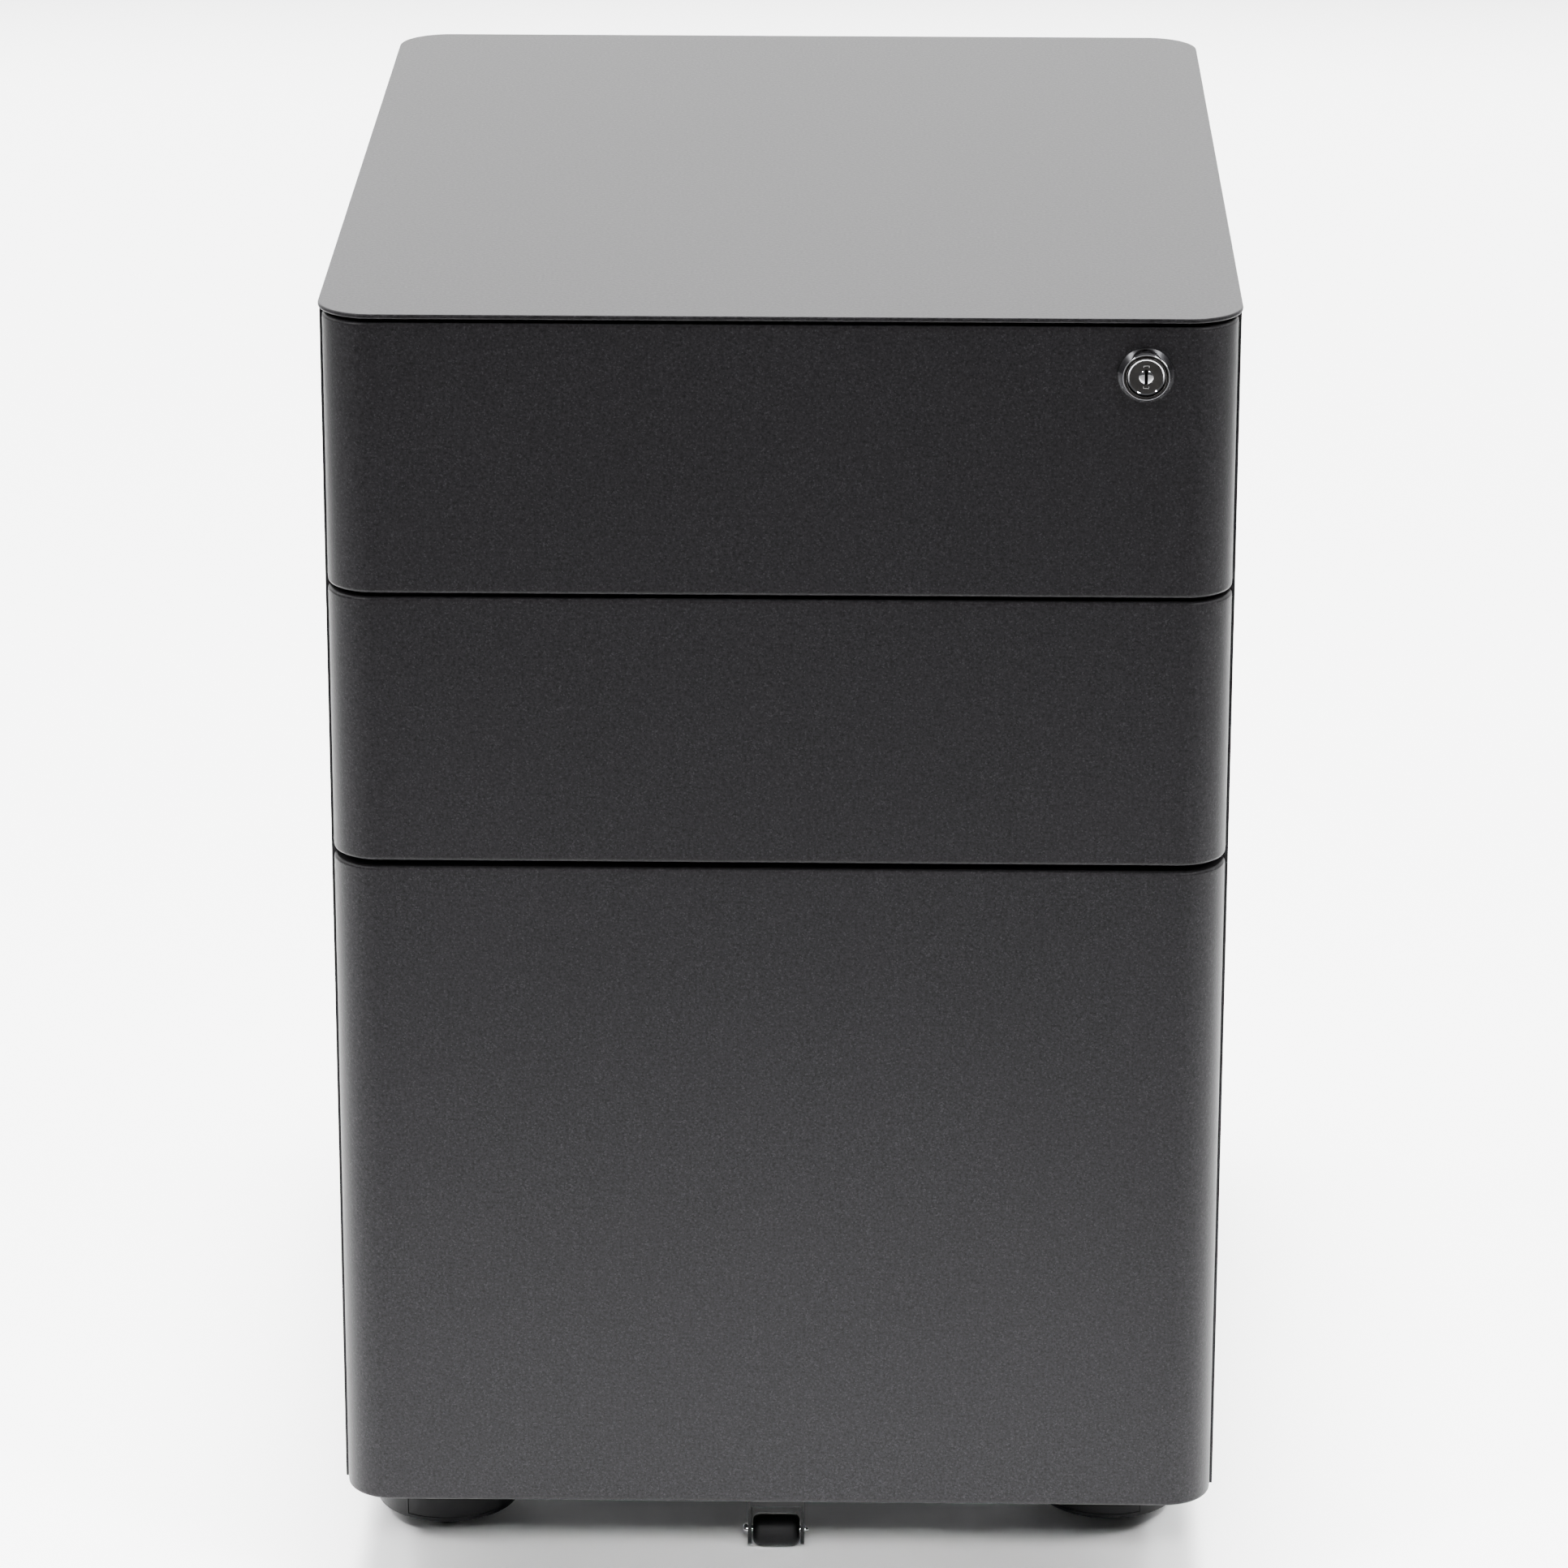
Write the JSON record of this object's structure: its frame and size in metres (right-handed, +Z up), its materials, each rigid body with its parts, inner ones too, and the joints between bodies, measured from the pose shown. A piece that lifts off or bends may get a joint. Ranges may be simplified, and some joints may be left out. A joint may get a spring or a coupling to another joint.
{
  "type": "mobile filing cabinet",
  "caption": "Charcoal steel mobile filing cabinet: two shallow drawers over a deep file drawer, rounded handle-less fronts, cam lock, anti-tip roller and swivel casters.",
  "frame": {"origin": "centre of the footprint, on the floor that the wheels stand on", "axes": "+Z up, +X to the right seen from the front, drawers open towards -Y"},
  "size_m": [0.39, 0.524, 0.6],
  "materials": {
    "charcoal_paint": "satin charcoal powder coat with a fine metallic speckle",
    "inner_paint": "thinner satin charcoal powder coat on inner pieces",
    "zinc_steel": "bright zinc plate on rolled steel",
    "chrome": "polished chrome plate",
    "black_steel": "semi-gloss black paint",
    "black_nylon": "moulded black nylon, satin"
  },
  "bodies": {
    "root": {"top_panel": "charcoal_paint", "left_side_panel": "charcoal_paint", "right_side_panel": "charcoal_paint", "back_panel": "charcoal_paint", "base_pan": "inner_paint", "front_top_rail": "inner_paint", "rear_top_rail": "inner_paint", "top_slide_outer_left": "zinc_steel", "top_slide_outer_right": "zinc_steel", "middle_slide_outer_left": "zinc_steel", "middle_slide_outer_right": "zinc_steel", "file_slide_outer_left": "zinc_steel", "file_slide_outer_right": "zinc_steel", "caster_front_left_mount": "zinc_steel", "caster_front_right_mount": "zinc_steel", "caster_rear_left_mount": "zinc_steel", "caster_rear_right_mount": "zinc_steel"},
    "top_drawer": {"top_drawer_front": "charcoal_paint", "top_drawer_inner_panel": "inner_paint", "top_drawer_tray": "inner_paint", "top_slide_inner_left": "zinc_steel", "top_slide_inner_right": "zinc_steel", "lock_housing": "chrome", "lock_nut": "zinc_steel"},
    "top_slide_middle": {"top_slide_middle_left": "zinc_steel", "top_slide_middle_right": "zinc_steel"},
    "middle_drawer": {"middle_drawer_front": "charcoal_paint", "middle_drawer_inner_panel": "inner_paint", "middle_drawer_tray": "inner_paint", "middle_slide_inner_left": "zinc_steel", "middle_slide_inner_right": "zinc_steel"},
    "middle_slide_middle": {"middle_slide_middle_left": "zinc_steel", "middle_slide_middle_right": "zinc_steel"},
    "file_drawer": {"file_drawer_front": "charcoal_paint", "file_drawer_inner_panel": "inner_paint", "file_drawer_tray": "inner_paint", "file_slide_inner_left": "zinc_steel", "file_slide_inner_right": "zinc_steel", "hanging_rail_left": "zinc_steel", "hanging_rail_right": "zinc_steel", "antitip_bracket": "black_steel", "antitip_axle": "zinc_steel"},
    "file_slide_middle": {"file_slide_middle_left": "zinc_steel", "file_slide_middle_right": "zinc_steel"},
    "lock_plug": {"lock_plug": "chrome", "lock_cam": "zinc_steel"},
    "lock_bar": {"lock_bar": "zinc_steel"},
    "antitip_roller": {"antitip_roller": "black_nylon"},
    "caster_front_left": {"caster_front_left_hood": "black_nylon"},
    "caster_front_left_wheel_a": {"caster_front_left_wheel_a": "black_nylon"},
    "caster_front_left_wheel_b": {"caster_front_left_wheel_b": "black_nylon"},
    "caster_front_right": {"caster_front_right_hood": "black_nylon"},
    "caster_front_right_wheel_a": {"caster_front_right_wheel_a": "black_nylon"},
    "caster_front_right_wheel_b": {"caster_front_right_wheel_b": "black_nylon"},
    "caster_rear_left": {"caster_rear_left_hood": "black_nylon"},
    "caster_rear_left_wheel_a": {"caster_rear_left_wheel_a": "black_nylon"},
    "caster_rear_left_wheel_b": {"caster_rear_left_wheel_b": "black_nylon"},
    "caster_rear_right": {"caster_rear_right_hood": "black_nylon"},
    "caster_rear_right_wheel_a": {"caster_rear_right_wheel_a": "black_nylon"},
    "caster_rear_right_wheel_b": {"caster_rear_right_wheel_b": "black_nylon"}
  },
  "joints": [
    {"name": "top_drawer_slide", "type": "slide", "parent": "root", "child": "top_drawer", "axis": [0, -1, 0], "range_m": [0, 0.42]},
    {"name": "top_slide_middle_travel", "type": "slide", "parent": "root", "child": "top_slide_middle", "axis": [0, -1, 0], "range_m": [0, 0.21]},
    {"name": "middle_drawer_slide", "type": "slide", "parent": "root", "child": "middle_drawer", "axis": [0, -1, 0], "range_m": [0, 0.42]},
    {"name": "middle_slide_middle_travel", "type": "slide", "parent": "root", "child": "middle_slide_middle", "axis": [0, -1, 0], "range_m": [0, 0.21]},
    {"name": "file_drawer_slide", "type": "slide", "parent": "root", "child": "file_drawer", "axis": [0, -1, 0], "range_m": [0, 0.42]},
    {"name": "file_slide_middle_travel", "type": "slide", "parent": "root", "child": "file_slide_middle", "axis": [0, -1, 0], "range_m": [0, 0.21]},
    {"name": "lock_plug_turn", "type": "hinge", "parent": "top_drawer", "child": "lock_plug", "pos_m": [0.1537, -0.262, 0.5757], "axis": [0, -1, 0], "range_deg": [0, 90]},
    {"name": "lock_bar_lift", "type": "slide", "parent": "root", "child": "lock_bar", "axis": [0, 0, 1], "range_m": [0, 0.008]},
    {"name": "antitip_roller_spin", "type": "hinge", "parent": "file_drawer", "child": "antitip_roller", "pos_m": [-0.0018, -0.194, 0.0085], "axis": [1, 0, 0], "continuous": true},
    {"name": "caster_front_left_swivel", "type": "hinge", "parent": "root", "child": "caster_front_left", "pos_m": [-0.1382, -0.1556, 0.055], "axis": [0, 0, 1], "continuous": true},
    {"name": "caster_front_left_wheel_a_spin", "type": "hinge", "parent": "caster_front_left", "child": "caster_front_left_wheel_a", "pos_m": [-0.15434, -0.16715, 0.0225], "axis": [-0.0122, -0.9999, 0], "continuous": true},
    {"name": "caster_front_left_wheel_b_spin", "type": "hinge", "parent": "caster_front_left", "child": "caster_front_left_wheel_b", "pos_m": [-0.15406, -0.14366, 0.0225], "axis": [-0.0122, -0.9999, 0], "continuous": true},
    {"name": "caster_front_right_swivel", "type": "hinge", "parent": "root", "child": "caster_front_right", "pos_m": [0.1382, -0.1556, 0.055], "axis": [0, 0, 1], "continuous": true},
    {"name": "caster_front_right_wheel_a_spin", "type": "hinge", "parent": "caster_front_right", "child": "caster_front_right_wheel_a", "pos_m": [0.14334, -0.13643, 0.0225], "axis": [-0.6252, 0.7804, 0], "continuous": true},
    {"name": "caster_front_right_wheel_b_spin", "type": "hinge", "parent": "caster_front_right", "child": "caster_front_right_wheel_b", "pos_m": [0.15803, -0.15477, 0.0225], "axis": [-0.6252, 0.7804, 0], "continuous": true},
    {"name": "caster_rear_left_swivel", "type": "hinge", "parent": "root", "child": "caster_rear_left", "pos_m": [-0.1382, 0.186, 0.055], "axis": [0, 0, 1], "continuous": true},
    {"name": "caster_rear_left_wheel_a_spin", "type": "hinge", "parent": "caster_rear_left", "child": "caster_rear_left_wheel_a", "pos_m": [-0.15744, 0.1811, 0.0225], "axis": [-0.3746, -0.9272, 0], "continuous": true},
    {"name": "caster_rear_left_wheel_b_spin", "type": "hinge", "parent": "caster_rear_left", "child": "caster_rear_left_wheel_b", "pos_m": [-0.14863, 0.20289, 0.0225], "axis": [-0.3746, -0.9272, 0], "continuous": true},
    {"name": "caster_rear_right_swivel", "type": "hinge", "parent": "root", "child": "caster_rear_right", "pos_m": [0.1382, 0.186, 0.055], "axis": [0, 0, 1], "continuous": true},
    {"name": "caster_rear_right_wheel_a_spin", "type": "hinge", "parent": "caster_rear_right", "child": "caster_rear_right_wheel_a", "pos_m": [0.14618, 0.20418, 0.0225], "axis": [-0.5, 0.866, 0], "continuous": true},
    {"name": "caster_rear_right_wheel_b_spin", "type": "hinge", "parent": "caster_rear_right", "child": "caster_rear_right_wheel_b", "pos_m": [0.15793, 0.18382, 0.0225], "axis": [-0.5, 0.866, 0], "continuous": true}
  ],
  "couplings": [
    {"joint": "top_slide_middle_travel", "follows": "top_drawer_slide", "ratio": 0.5},
    {"joint": "middle_slide_middle_travel", "follows": "middle_drawer_slide", "ratio": 0.5},
    {"joint": "file_slide_middle_travel", "follows": "file_drawer_slide", "ratio": 0.5},
    {"joint": "lock_plug_turn", "follows": "lock_bar_lift", "rad_per_m": 196.34}
  ]
}
